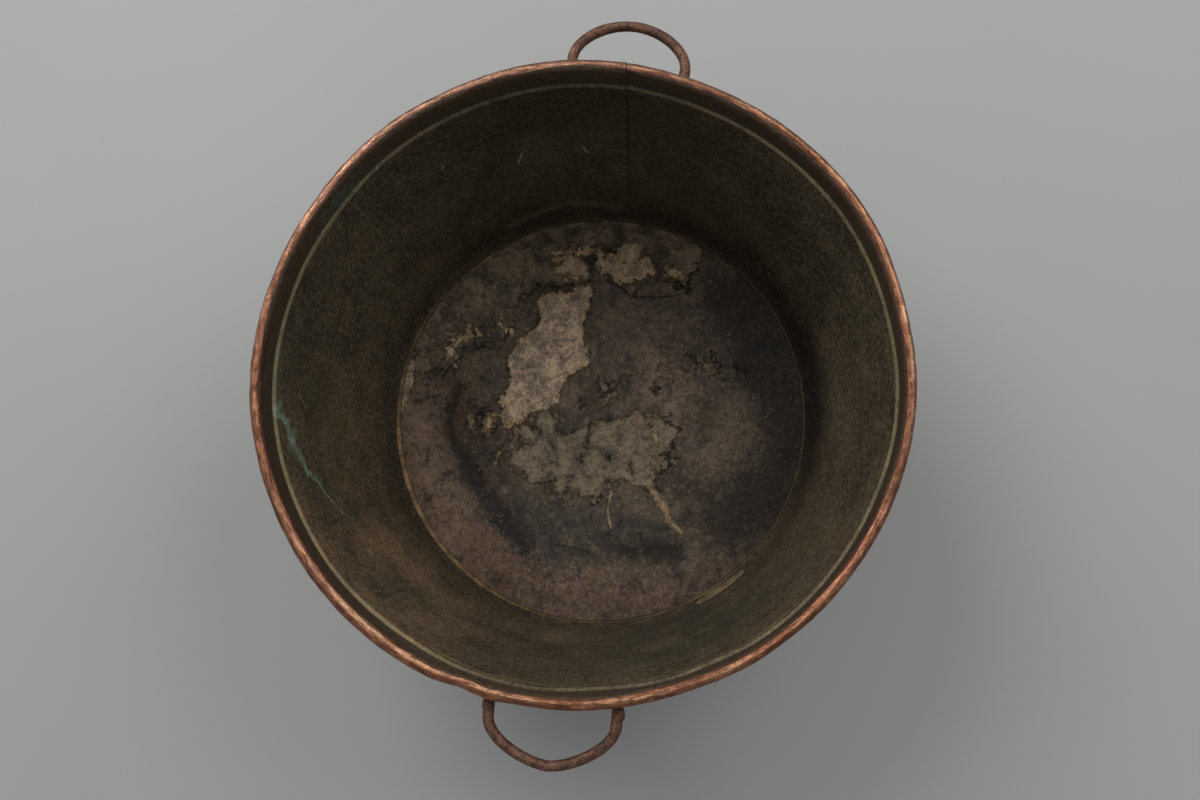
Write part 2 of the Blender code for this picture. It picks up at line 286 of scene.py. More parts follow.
def new_piece(name, mesh, replaced, slot, *materials):
    """Puts a mesh in the scene as a piece that stands for the CAD nodes replaced."""
    piece = add_object(name, mesh)
    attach(piece, "root")
    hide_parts(*replaced)
    for material in materials:
        mesh.materials.append(material)
    return piece


def new_mesh(name, points, faces, closed=True):
    """A smooth mesh; the faces of a closed one are turned to look outwards."""
    mesh = bpy.data.meshes.new(name)
    mesh.from_pydata(points.reshape(-1, 3).tolist(), [], faces)
    if closed:
        work = bmesh.new()
        work.from_mesh(mesh)
        bmesh.ops.recalc_face_normals(work, faces=work.faces)
        work.to_mesh(mesh)
        work.free()
    mesh.shade_smooth()
    return mesh


def grid_quads(index):
    """Faces between the points of a grid whose vertex numbers are given."""
    corners = [index[:-1, :-1], index[:-1, 1:], index[1:, 1:], index[1:, :-1]]
    return np.stack(corners, axis=-1).reshape(-1, 4)


def numbered(rows, columns, closed=True):
    """Vertex numbers of a grid; a closed one has its first column again at the end."""
    index = np.arange(rows * columns).reshape(rows, columns)
    return np.hstack([index, index[:, :1]]) if closed else index


def sheet_mesh(name, points, keep=None):
    """A sheet through a grid of points (rows, columns, 3); keep marks the faces that exist."""
    quads = grid_quads(numbered(*points.shape[:2], False))
    if keep is not None:
        quads = quads[keep.reshape(-1)]
    return new_mesh(name, points, quads.tolist(), False)


def ring_mesh(name, points):
    """A closed mesh through a grid whose last row repeats its first."""
    index = numbered(len(points) - 1, points.shape[1])
    quads = grid_quads(np.vstack([index, index[:1]]))[:, ::-1]
    return new_mesh(name, points[:-1], np.roll(quads, 1, axis=1).tolist())


def turned_mesh(name, profile, columns, shape):
    """A closed turned solid: profile rows run from the top's centre round to the bottom's centre."""
    profile = np.array(profile)
    inner = profile[1:-1]
    azimuth, row = np.meshgrid(circle(columns), np.arange(len(inner)))
    grid = polar(inner[row, 0], azimuth, inner[row, 1]).reshape(-1, 3)
    points = shape(np.vstack([grid, [[0, 0, profile[0, 1]], [0, 0, profile[-1, 1]]]]))
    index = numbered(len(inner), columns)
    top, bottom = len(grid), len(grid) + 1
    faces = np.roll(grid_quads(index)[:, ::-1], 1, axis=1).tolist()
    faces += [[top, a, b] for a, b in zip(index[0].tolist(), index[0, 1:].tolist())]
    faces += [[bottom, b, a] for a, b in zip(index[-1].tolist(), index[-1, 1:].tolist())]
    return new_mesh(name, points, faces)


def add_fields(mesh, **fields):
    """Numbers at each vertex, for the materials to read."""
    for name, values in fields.items():
        field = mesh.attributes.new(name, "FLOAT", "POINT")
        field.data.foreach_set("value", np.asarray(values, np.float32).ravel())


def drop_loose(mesh):
    """Removes the vertices that no face uses."""
    work = bmesh.new()
    work.from_mesh(mesh)
    loose = [vertex for vertex in work.verts if not vertex.link_faces]
    bmesh.ops.delete(work, geom=loose, context="VERTS")
    work.to_mesh(mesh)
    work.free()


def add_thickness(piece, thickness, outside=1, offset=1.0):
    modifier = piece.modifiers.new("thickness", "SOLIDIFY")
    modifier.thickness = thickness
    modifier.offset = offset
    modifier.use_even_offset = True
    modifier.material_offset = outside
    modifier.material_offset_rim = outside


def read_vectors(items, key):
    values = np.empty(len(items) * 3)
    items.foreach_get(key, values)
    return values.reshape(-1, 3)


def set_points(mesh, points):
    mesh.vertices.foreach_set("co", points.astype(np.float32).ravel())
    mesh.update()


# ---------------------------------------------------------------- materials


def linear(red, green, blue):
    """A colour given in the usual 0 to 255 steps, as the shader wants it."""
    values = []
    for step in (red, green, blue):
        v = step / 255
        values.append(v / 12.92 if v <= 0.04045 else ((v + 0.055) / 1.055) ** 2.4)
    return (*values, 1.0)


class Look:
    """A procedural material, with short names for the nodes that it is made of."""

    def __init__(self, name, specular=0.5):
        self.material = bpy.data.materials.new(name)
        self.material.use_nodes = True
        self.tree = self.material.node_tree
        self.shader = self.tree.nodes["Principled BSDF"]
        self.shader.inputs["Specular IOR Level"].default_value = specular
        self.place = self.node("TexCoord", {}).outputs["Object"]

    def feed(self, socket, value):
        if isinstance(value, bpy.types.NodeSocket):
            self.tree.links.new(value, socket)
        else:
            socket.default_value = value

    def node(self, kind, inputs, **settings):
        node = self.tree.nodes.new("ShaderNode" + kind)
        for key, value in settings.items():
            setattr(node, key, value)
        for key, value in inputs.items():
            self.feed(node.inputs[key], value)
        return node

    def field(self, name):
        return self.node("Attribute", {}, attribute_name=name).outputs["Fac"]

    def mapped(self, **inputs):
        """The place on the object, scaled and turned."""
        return self.node("Mapping", {"Vector": self.place, **inputs}).outputs["Vector"]

    def noise(self, scale, detail=4.0, roughness=0.55, vector=None, distortion=0.0):
        inputs = {"Vector": vector or self.place, "Scale": scale, "Detail": detail}
        inputs.update({"Roughness": roughness, "Distortion": distortion})
        return self.node("TexNoise", inputs).outputs["Fac"]

    def cells(self, scale, feature="F1"):
        inputs = {"Vector": self.place, "Scale": scale}
        return self.node("TexVoronoi", inputs, feature=feature).outputs["Distance"]

    def step(self, value, low, high):
        """0 below low and 1 above high, smooth between; low may be the larger."""
        inputs = {"Value": value, "From Min": low, "From Max": high}
        return self.node("MapRange", inputs, interpolation_type="SMOOTHSTEP").outputs["Result"]

    def between(self, factor, first, second):
        """A number that goes from first to second with factor."""
        return self.node("MapRange", {"Value": factor, "To Min": first, "To Max": second}).outputs["Result"]

    def math(self, operation, *values):
        return self.node("Math", dict(enumerate(values)), operation=operation).outputs[0]

    def sum(self, first, second):
        return self.math("ADD", first, second)

    def times(self, first, second):
        return self.math("MULTIPLY", first, second)

    def sheet(self, along=1.0, across=1.0):
        """The place on the unrolled sheet: metres round the cauldron and metres up or over the roll."""
        inputs = {"X": self.times(self.field("along"), along), "Y": self.times(self.field("across"), across)}
        return self.node("CombineXYZ", inputs).outputs["Vector"]

    def grain(self, turn, fine, long):
        """Noise drawn out into fine lines, turned on the object's x, y plane and tilted with it."""
        return self.noise(1, 3, 0.6, self.mapped(Rotation=(turn, turn * 0.7, turn), Scale=(fine, long, fine)))

    def stroke(self, start, end, width, bend, vector=None, wobble=1.2):
        """1 along a line from start to end, bent sideways by bend, and 0 at width from it."""
        inputs = {
            "Vector": vector or self.place,
            "Location": (start[0], start[1], 0),
            "Rotation": (0, 0, math.atan2(end[1] - start[1], end[0] - start[0])),
            "Scale": (math.dist(start, end), width, 1),
        }
        local = self.node("Mapping", inputs, vector_type="TEXTURE").outputs["Vector"]
        parts = self.node("SeparateXYZ", {"Vector": local}).outputs
        rest = self.math("SUBTRACT", 1.0, parts["X"])
        arch = self.times(self.times(parts["X"], rest), 4 * bend / width)
        ragged = self.times(self.math("SUBTRACT", self.noise(55, 5, 0.65), 0.5), 4 * wobble)
        away = self.math("ABSOLUTE", self.sum(self.math("SUBTRACT", parts["Y"], arch), ragged))
        ends = self.times(self.step(parts["X"], -0.02, 0.12), self.step(parts["X"], 1.02, 0.80))
        return self.times(self.step(away, 1.0, 0.35), ends)

    def bump(self, height, depth, under=None):
        inputs = {"Height": height, "Distance": depth, "Strength": 1.0}
        if under is not None:
            inputs["Normal"] = under
        return self.node("Bump", inputs).outputs["Normal"]

    def blend(self, first, second, factor):
        """A coat that is first where factor is 0 and second where it is 1."""
        coat = Coat(self, first)
        coat.lay(second, factor)
        return coat

    def coat(self, first, second, value, low, high):
        return self.blend(first, second, self.step(value, low, high))

    def finish(self, coat, roughness, metallic=0.0, normal=None):
        inputs = {"Base Color": coat.colour, "Roughness": roughness, "Metallic": metallic}
        if normal is not None:
            inputs["Normal"] = normal
        for key, value in inputs.items():
            self.feed(self.shader.inputs[key], value)
        return self.material


class Coat:
    """A colour built up in layers."""

    def __init__(self, look, colour):
        self.look = look
        self.colour = self.paint(colour)

    def paint(self, colour):
        return colour.colour if isinstance(colour, Coat) else linear(*colour)

    def lay(self, colour, mask, share=None):
        """Covers what is there with a colour where mask is 1."""
        look = self.look
        factor = mask if share is None else look.times(mask, share)
        inputs = {"Factor": factor, 6: self.colour, 7: self.paint(colour)}
        self.colour = look.node("Mix", inputs, data_type="RGBA").outputs[2]

    def over(self, colour, value, low, high, share=None):
        """Covers what is there where value is past high."""
        self.lay(colour, self.look.step(value, low, high), share)

    def strokes(self, colour, lines, share, vector=None, wobble=1.2):
        for line in lines:
            self.lay(colour, self.look.stroke(*line, vector, wobble), share)


def lines_on(place, *rows):
    """Lines for strokes, from rows of start, end, width and bend; lengths in millimetres."""
    return [(place(a, b), place(c, d), width / 1000, bend / 1000) for a, b, c, d, width, bend in rows]


def on_sheet(degrees, up):
    """A place on the sheet's inside; minus is to the left of the seam."""
    return (math.radians(degrees) * ROUND, up / 1000)


def on_floor(x, y):
    return (x / 1000, y / 1000)

# Lines on the wall's inside, in degrees round the cauldron and millimetres up, and on the bottom, in
# millimetres; then width and sideways bend in millimetres
VERDIGRIS = lines_on(
    on_sheet,
    (-103, 311, -111, 280, 11.5, 2),
    (-109, 287, -118, 246, 8, -3),
    (-116, 252, -127, 198, 2.2, -3),
    (-117, 236, -121, 238, 1.6, 0),
    (-100, 262, -103, 240, 1.6, 0),
)
SCRATCHES = lines_on(
    on_sheet,
    (-61, 311, -62, 180, 1.6, 4),
    (-172, 292, -196, 288, 1.2, 2),
    (-150, 250, -168, 232, 1, 3),
    (-300, 262, -286, 214, 1, -3),
)
SCUFFS = lines_on(
    on_sheet,
    (-24, 190, -26, 166, 2.2, 0),
    (-10.5, 182, -9, 164, 2, 0),
    (52, 140, 53.5, 122, 2, 0),
    (-41, 236, -42, 229, 1.8, 0),
    (-134, 196, -135.6, 192, 2.4, 0),
)
# Light lines along the dented ledge: partly wear, partly painted highlight.
FOLD_WEAR_AND_HIGHLIGHT = lines_on(
    on_sheet,
    (-150, 307.5, -168, 301, 2.2, 1),
    (-160, 303, -180, 306.5, 2.2, -1),
    (-172, 299, -190, 303, 2, 1),
    (-196, 304, -218, 298, 2, 1),
    (-213, 306, -236, 302, 2.2, 1),
)
STAINS = lines_on(
    on_sheet,
    (-9.3, 300, -9, 120, 1.2, 0),
    (-14, 280, -13, 90, 3, 4),
    (-31, 200, -48, 80, 12, 10),
    (58, 150, 34, 90, 14, 6),
    (112, 120, 88, 60, 16, 8),
)
FOOT_SCALE = lines_on(
    on_sheet,
    (-36, 26, -16, 40, 8.5, 4),
    (-18, 40, -1, 26, 9.5, 3),
)
FLOOR_LINES = lines_on(
    on_floor,
    (34, -93, 41, -150, 2, -6),
    (74, -78, 122, -134, 5, 3),
    (116, -128, 134, -138, 3.6, 0),
)
# Dark lines on the bottom: cracks, and painted shadow lines under the lower edges of crust and scale.
FLOOR_CRACKS_AND_SHADOWS = lines_on(
    on_floor,
    (29, -152, 62, -174, 2.4, 5),
    (60, -174, 140, -160, 2, 6),
    (52, -128, 30, -158, 2.4, 3),
    (78, -140, 96, -176, 3, -4),
    (-40, -180, 26, -186, 2.6, 5),
    (-218, 20, -190, 56, 2.6, 3),
    (-192, 58, -152, 70, 3, 4),
    (-150, 68, -138, 100, 2.6, -3),
    (-20, 184, 16, 168, 3, 4),
    (16, 168, 95, 184, 2.6, -5),
)


def copper_inside():
    """Olive-brown patina of the wall's inside, with water streaks, scratches, verdigris, painted shade and
    painted light.
    """
    look = Look("copper_inside", specular=0.35)
    sheet = look.sheet()
    broad = look.noise(6, 6, 0.6, None, 0.4)
    middle = look.noise(22, 7, 0.66)
    fine = look.noise(210, 7, 0.78)
    coat = look.coat((64, 57, 46), (97, 86, 67), broad, 0.34, 0.66)
    tint = look.step(look.noise(8, 5, 0.6, look.mapped(Scale=(1, 1, 1.4))), 0.42, 0.66)
    coat.lay((72, 70, 57), tint, 0.45)
    coat.over((116, 101, 75), middle, 0.46, 0.68, 0.45)
    coat.over((50, 46, 38), middle, 0.5, 0.3, 0.5)
    # Painted light: a warm, lighter tan low on the wall, mostly on the lower left at azimuth 226.
    warm = look.times(look.field("warm"), look.step(look.noise(10, 6, 0.62), 0.34, 0.64))
    coat.lay((148, 120, 88), warm, 0.8)
    streaks = look.noise(1, 5, 0.62, look.sheet(70, 5))
    coat.over((134, 120, 92), streaks, 0.54, 0.7, 0.26)
    rings = look.noise(1, 5, 0.62, look.sheet(4, 110))
    coat.over((44, 42, 36), rings, 0.5, 0.66, 0.2)
    coat.over((44, 40, 32), fine, 0.49, 0.58, 0.56)
    coat.over((142, 130, 104), fine, 0.5, 0.4, 0.46)
    # Painted shade: darker low on the wall, in the corner where it meets the bottom.
    coat.lay((28, 26, 24), look.field("foot"), 0.88)
    cool = look.times(look.field("cool"), look.step(look.noise(9, 7, 0.68), 0.36, 0.58))
    coat.lay((54, 56, 47), cool)
    shade = look.times(look.field("shade"), look.between(broad, 0.2, 1.8))
    coat.lay((34, 31, 25), shade)
    for turn in (0.4, 1.5, 2.5):
        scratch = look.times(look.step(look.grain(turn, 300, 9), 0.65, 0.71), 0.38)
        coat.lay((150, 136, 106), scratch)
    # The ledge's lighter line: partly wear, partly painted highlight where the upturned ledge catches the
    # light.
    ledge = look.times(look.field("ledge"), look.between(look.noise(22, 7, 0.72), -0.5, 1.9))
    coat.lay((160, 142, 100), ledge)
    green = look.times(look.field("green"), look.step(look.noise(110, 6, 0.7), 0.42, 0.58))
    coat.lay((112, 134, 116), green)
    patchy = look.between(look.step(look.noise(70, 7, 0.75), 0.38, 0.6), 0.15, 0.8)
    coat.strokes((150, 178, 158), VERDIGRIS, patchy, sheet)
    coat.strokes((160, 140, 104), SCRATCHES, 0.24, sheet, 0.5)
    coat.strokes((176, 166, 140), SCUFFS, 0.75, sheet)
    # Light lines on the dented ledge: partly wear, partly painted highlight.
    coat.strokes((172, 146, 104), FOLD_WEAR_AND_HIGHLIGHT, 0.55, sheet, 0.5)
    coat.strokes((36, 33, 28), STAINS, 0.38, sheet)
    coat.strokes((118, 110, 92), FOOT_SCALE, look.between(fine, 0.2, 0.9), sheet)
    specks = look.times(look.step(look.cells(150), 0.17, 0.09), look.step(look.noise(22, 2), 0.57, 0.66))
    coat.lay((170, 158, 132), specks, 0.8)
    roughness = look.between(middle, 0.34, 0.66)
    normal = look.bump(fine, 0.0004)
    normal = look.bump(look.noise(24, 4, 0.55), 0.0016, normal)
    return look.finish(coat, roughness, 0.25, normal)


def copper_outside():
    """Brown weathered copper of the outside: streaked, planished, sooty towards the foot."""
    look = Look("copper_outside")
    broad = look.noise(6, 5, 0.6)
    streaks = look.noise(1, 5, 0.6, look.mapped(Scale=(45, 45, 4)))
    coat = look.coat((104, 66, 48), (138, 88, 62), broad, 0.34, 0.66)
    coat.over((78, 56, 44), streaks, 0.48, 0.75, 0.5)
    bright = look.times(look.step(look.noise(14, 6, 0.7), 0.6, 0.74), 0.6)
    coat.lay((176, 116, 84), bright)
    coat.lay((44, 38, 35), look.field("soot"), 0.85)
    roughness = look.between(look.noise(25, 5), 0.34, 0.6)
    normal = look.bump(look.cells(75, "SMOOTH_F1"), 0.0008)
    normal = look.bump(look.noise(200, 4), 0.0002, normal)
    return look.finish(coat, roughness, 0.75, normal)


def copper_rim():
    """Rolled rim: copper worn bright by hands, brown patina in the neck, in the pits and underneath, a
    painted highlight along the roll and painted shade on its inner face.
    """
    look = Look("copper_rim")
    broad = look.noise(20, 5, 0.6)
    fine = look.noise(210, 6, 0.7)
    drawn = look.noise(1, 6, 0.68, look.sheet(62, 300))
    folds = look.noise(1, 4, 0.6, look.sheet(16, 230))
    worn = look.coat((122, 78, 57), (164, 110, 83), broad, 0.36, 0.64)
    worn.lay((152, 116, 99), look.field("pink"), 0.8)
    runs = look.step(look.noise(1, 4, 0.65, look.sheet(16, 60)), 0.4, 0.62)
    # Painted highlight: a bright band along the roll, at the angle where the light's reflection lies.
    crest = look.step(look.sum(drawn, look.between(broad, -0.3, 0.3)), 0.36, 0.6)
    crest = look.times(look.times(look.field("crest"), crest), look.between(runs, 0.3, 1.0))
    worn.lay((250, 204, 162), crest, 0.9)
    worn.over((98, 60, 44), drawn, 0.5, 0.58, 0.7)
    # Light streaks drawn along the roll: worn lines and painted highlight streaks.
    worn.over((226, 168, 124), drawn, 0.44, 0.36, 0.5)
    worn.over((92, 60, 48), fine, 0.56, 0.64, 0.6)
    dull = look.coat((72, 61, 46), (106, 90, 66), fine, 0.42, 0.6)
    # Darker red-brown on the unworn inner face of the roll: patina and painted shade.
    flush = look.times(look.field("flush"), look.between(look.step(broad, 0.36, 0.6), 0.6, 1.0))
    dull.lay((74, 47, 34), flush)
    patchy = look.sum(look.between(look.noise(48, 7, 0.72), -0.55, 0.55), look.between(folds, -0.45, 0.45))
    wear = look.sum(look.field("wear"), patchy)
    shine = look.step(wear, 0.26, 0.46)
    coat = look.blend(dull, worn, shine)
    green = look.times(look.field("green"), look.step(look.noise(110, 5, 0.7), 0.42, 0.56))
    coat.lay((110, 142, 126), green)
    coat.lay((64, 54, 39), look.field("deep"))
    roughness = look.sum(look.between(shine, 0.6, 0.32), look.between(fine, -0.12, 0.16))
    metallic = look.between(shine, 0.3, 0.95)
    normal = look.bump(fine, 0.0003)
    normal = look.bump(look.sum(drawn, look.times(folds, 1.5)), 0.0007, normal)
    return look.finish(coat, roughness, metallic, normal)


def floor_inside():
    """Mottled bottom: brown and slate stains, with grey scale and torn tan crust over them, and painted
    shadow at their edges.
    """
    look = Look("floor_inside", specular=0.25)
    broad = look.noise(9, 7, 0.66, None, 0.8)
    middle = look.noise(34, 9, 0.74, None, 0.5)
    fine = look.noise(190, 7, 0.76)
    torn = look.between(look.noise(34, 10, 0.76, None, 0.25), -1.5, 1.5)
    smoke = look.between(look.noise(16, 8, 0.7, None, 0.8), -1.0, 1.0)
    coat = look.coat((70, 60, 50), (102, 88, 72), broad, 0.38, 0.62)
    brown = look.step(look.sum(look.field("brown"), smoke), 0.2, 0.8)
    coat.lay((116, 95, 81), brown, 0.85)
    slate = look.step(look.sum(look.field("slate"), smoke), 0.3, 0.75)
    coat.lay((64, 61, 56), slate, 0.7)
    coat.over((118, 101, 82), middle, 0.5, 0.62, 0.6)
    coat.over((40, 36, 32), middle, 0.48, 0.38, 0.65)
    rust = look.times(look.field("rust"), look.step(look.noise(36, 7, 0.72), 0.4, 0.6))
    coat.lay((124, 84, 58), rust, 0.8)
    light = look.times(look.field("light"), look.step(middle, 0.34, 0.62))
    coat.lay((158, 132, 110), light)
    pale = look.sum(look.field("pale"), look.times(torn, 0.8))
    scale = look.coat((80, 71, 60), (142, 124, 101), middle, 0.4, 0.58)
    coat.over(scale, pale, 0.4, 0.6, 0.8)
    dark = look.step(look.sum(look.field("dark"), look.times(torn, 0.7)), 0.22, 0.8)
    coat.lay((30, 27, 25), dark, look.between(smoke, 0.82, 0.9))
    # Painted shadow: a dark line along the edge of the grey scale.
    scale_edge_shadow = look.times(look.step(pale, 0.3, 0.44), look.step(pale, 0.58, 0.46))
    coat.lay((38, 33, 30), scale_edge_shadow, look.step(smoke, -0.06, 0.12))
    crust = look.sum(look.field("crust"), torn)
    shade = look.times(look.step(crust, 0.18, 0.4), look.step(crust, 0.5, 0.44))
    coat.lay((34, 30, 27), shade, look.times(look.field("crust"), 1.2))
    grit = look.step(look.noise(60, 9, 0.78), 0.42, 0.58)
    tan = look.blend((136, 120, 102), (208, 182, 150), grit)
    solid = look.between(look.step(middle, 0.38, 0.52), 0.5, 0.96)
    coat.over(tan, crust, 0.45, 0.54, solid)
    rind = look.times(look.step(crust, 0.45, 0.52), look.step(crust, 0.8, 0.54))
    coat.lay((190, 158, 114), rind, look.step(broad, 0.64, 0.42))
    coat.strokes((168, 142, 104), FLOOR_LINES, look.between(grit, 0.35, 0.95))
    # Cracks and painted shadow lines under the edges of crust and scale.
    coat.strokes((34, 30, 29), FLOOR_CRACKS_AND_SHADOWS, 0.8)
    coat.over((34, 30, 27), fine, 0.5, 0.6, 0.5)
    covered = look.math("MAXIMUM", dark, slate)
    coat.over((170, 152, 126), fine, 0.47, 0.36, look.between(covered, 0.28, 0.12))
    chips = look.times(look.step(look.cells(260), 0.27, 0.13), look.step(look.noise(90, 5, 0.7), 0.51, 0.6))
    coat.lay((204, 198, 186), chips, look.field("chips"))
    roughness = look.between(middle, 0.42, 0.78)
    normal = look.bump(fine, 0.0004)
    normal = look.bump(look.sum(look.step(crust, 0.4, 0.58), look.step(pale, 0.38, 0.56)), 0.0008, normal)
    normal = look.bump(middle, 0.0016, normal)
    return look.finish(coat, roughness, 0.12, normal)


def floor_underside():
    """Sooty underside, rubbed back to copper where it has stood."""
    look = Look("floor_underside")
    soot = look.noise(11, 7, 0.65)
    coat = look.coat((40, 35, 32), (84, 58, 46), soot, 0.36, 0.64)
    rubbed = look.times(look.step(look.noise(30, 6, 0.7), 0.6, 0.72), 0.7)
    coat.lay((150, 98, 70), rubbed)
    roughness = look.between(soot, 0.75, 0.45)
    normal = look.bump(look.noise(90, 6, 0.6), 0.001)
    return look.finish(coat, roughness, 0.45, normal)


def brass_braze():
    look = Look("brass_braze")
    coat = look.coat((104, 84, 56), (148, 120, 80), look.noise(60, 5, 0.65), 0.38, 0.62)
    coat.over((62, 50, 38), look.noise(160, 4), 0.55, 0.7, 0.6)
    coat.lay((58, 48, 37), look.field("tarnish"))
    normal = look.bump(look.noise(180, 5), 0.0008)
    return look.finish(coat, look.between(look.noise(90, 4), 0.4, 0.65), 0.45, normal)


def old_solder():
    look = Look("old_solder")
    coat = look.coat((120, 98, 74), (160, 136, 106), look.noise(80, 5, 0.65), 0.38, 0.62)
    normal = look.bump(look.noise(150, 5), 0.0008)
    return look.finish(coat, look.between(look.noise(90, 4), 0.42, 0.62), 0.35, normal)


def forged_iron():
    """Dark brown rusted iron with rubbed spots."""
    look = Look("forged_iron")
    broad = look.noise(55, 6, 0.65)
    fine = look.noise(420, 6, 0.7)
    coat = look.coat((92, 64, 51), (128, 92, 72), broad, 0.38, 0.6)
    coat.over((48, 34, 29), fine, 0.48, 0.58, 0.7)
    coat.over((152, 104, 76), look.noise(130, 5, 0.7), 0.58, 0.68, 0.7)
    pits = look.step(look.cells(420), 0.3, 0.12)
    coat.lay((40, 30, 26), pits, 0.5)
    roughness = look.between(fine, 0.4, 0.72)
    normal = look.bump(look.times(pits, -1.0), 0.0003)
    normal = look.bump(look.noise(260, 5, 0.65), 0.0007, normal)
    return look.finish(coat, roughness, 0.55, normal)


def rim_wire_iron():
    look = Look("rim_wire_iron")
    coat = look.coat((52, 40, 34), (92, 62, 46), look.noise(90, 5), 0.4, 0.6)
    return look.finish(coat, 0.7, 0.4, look.bump(look.noise(300, 4), 0.0004))


def copper_rivet():
    look = Look("copper_rivet")
    coat = look.coat((96, 62, 46), (164, 106, 78), look.noise(150, 5), 0.4, 0.62)
    coat.over((60, 44, 36), look.noise(500, 4), 0.52, 0.66, 0.6)
    return look.finish(coat, 0.45, 0.8, look.bump(look.noise(500, 4), 0.0004))


# ---------------------------------------------------------------- the wall and the rim

# By azimuth: how light the ledge line is (partly wear, partly painted highlight), how far round the roll
# (radians) the painted highlight lies and how strong it is, and how far round the roll the bright copper
# reaches
LEDGE_WEAR_AND_HIGHLIGHT = [
    (0, 0.34), (30, 0.62), (60, 0.72), (100, 0.66), (125, 0.3), (165, 0.24), (190, 0.4), (205, 0.8),
    (262, 0.95), (290, 0.55), (320, 0.34), (345, 0.18),
]
HIGHLIGHT_ANGLE = [
    (0, 1.3), (60, 1.25), (90, 1.1), (125, 1.55), (170, 1.6), (200, 2.1), (225, 1.9), (265, 0.85),
    (300, 1.1), (345, 1.3),
]
HIGHLIGHT_STRENGTH = [
    (0, 0.6), (45, 0.8), (80, 1.0), (100, 0.55), (150, 0.45), (175, 1.0), (215, 1.0), (240, 0.6),
    (265, 1.0), (290, 0.8), (320, 0.45), (350, 0.5),
]
BRIGHT_LIMIT = [
    (0, 2.05), (50, 2.1), (90, 2.15), (125, 2.45), (170, 2.45), (188, 2.15), (205, 2.8), (232, 2.8),
    (255, 2.3), (285, 2.05), (315, 2.3), (345, 2.05),
]


def lap_lift(turn):
    """How far outside its true place the sheet runs where it laps past its own first edge."""
    return (SHEET + GAP) * smoothstep(math.tau - LAP_RAMP, math.tau - 0.004, turn)


def make_wall(columns=576):
    """The sheet from the foot up to the crease under the neck, lapped on itself at the seam."""
    profile = wall_rows()
    side = side_of(profile)
    step = math.tau / columns
    turns = np.arange(columns + round(LAP_TAIL / step) + 1) * step
    turn, row = np.meshgrid(turns, np.arange(len(profile)))
    azimuth = -turn
    radius, z = profile[row, 0], profile[row, 1]
    lapped = turn > math.tau
    planish = cloudy(polar(radius, azimuth, z) + 5.0 * lapped[..., None], 0.05, 21, 2)
    push = -lap_lift(turn) * smoothstep(LAP_BOTTOM - 0.008, LAP_BOTTOM, z)
    push += 0.00022 * planish * smoothstep(0.02, 0.05, z) * smoothstep(0.306, 0.290, z)
    points = settle(polar(radius + side[row, 0] * push, azimuth, z + side[row, 1] * push))
    tail = turn[1:, 1:] > math.tau + 1e-6
    mesh = sheet_mesh("wall", points, ~(tail & (z[:-1, :-1] < LAP_BOTTOM - 0.010)))

    # Painted shade low on the wall, in the corner with the bottom, deepest round azimuth 80.
    foot = smoothstep(0.075, 0.010, z) * (0.35 + 0.20 * around(azimuth, 0, 60))
    foot = np.maximum(foot, smoothstep(0.110, 0.030, z) * around(azimuth, 80, 75))
    # Lighter line along the ledge: partly wear, partly painted highlight.
    ledge = smoothstep(WALL_TOP[1] - 0.0002, WALL_TOP[1] + 0.0010, z)
    ledge *= smoothstep(LEDGE_OUT[1] + 0.0002, LEDGE_OUT[1] - 0.0010, z)
    ledge *= by_azimuth(azimuth, LEDGE_WEAR_AND_HIGHLIGHT)
    green = 0.3 * smoothstep(0.290, 0.312, z) * around(azimuth, 262, 14)
    # Painted light: lighter warm tan low on the lower left (azimuth 226), fainter round azimuths 115 and 180.
    warm = 1.15 * around(azimuth, 226, 50) * smoothstep(0.0, 0.10, z)
    warm += 0.30 * around(azimuth, 115, 50) + 0.20 * around(azimuth, 180, 60)
    shade = 0.42 * around(azimuth, 345, 60) * smoothstep(0.16, 0.29, z) + 0.14 * around(azimuth, 0, 90)
    shade += 0.30 * around(azimuth, 183, 38) * smoothstep(0.06, 0.14, z)
    cool = 0.70 * around(azimuth, 148, 48) * smoothstep(0.0, 0.05, z) * smoothstep(0.27, 0.17, z)
    cool += 0.45 * around(azimuth, 262, 30) * smoothstep(0.14, 0.24, z)
    add_fields(mesh, foot=foot, ledge=ledge, green=green, warm=warm, shade=shade, cool=cool)
    add_fields(mesh, soot=smoothstep(0.14, 0.02, z), along=azimuth * ROUND, across=z)
    drop_loose(mesh)
    wall = new_piece("wall", mesh, ["wall_sheet"], "copper_wall", COPPER_OUTSIDE, copper_inside())
    add_thickness(wall, SHEET)


def hammer_marks(azimuth, angle, count, seed):
    """Depth of the flats that the hammer left on the roll, at each azimuth and roll angle."""
    draw = np.random.default_rng(seed)
    depth = np.zeros_like(azimuth)
    for _ in range(count):
        centre = draw.uniform(0, math.tau)
        tilt = draw.uniform(-0.2, 3.0)
        deep = draw.uniform(0.00012, 0.00042)
        face = draw.uniform(0.06, 0.16)
        away = ((-azimuth[0] - centre + math.pi) % math.tau - math.pi) * RIM_RADIUS
        near = np.nonzero(away**2 < 2 * face * deep)[0]
        across = (angle[:, near] - tilt) * ROLL_RADIUS
        cut = deep - across**2 / (2 * ROLL_RADIUS) - away[near] ** 2 / (2 * face)
        depth[:, near] = np.maximum(depth[:, near], cut)
    return depth


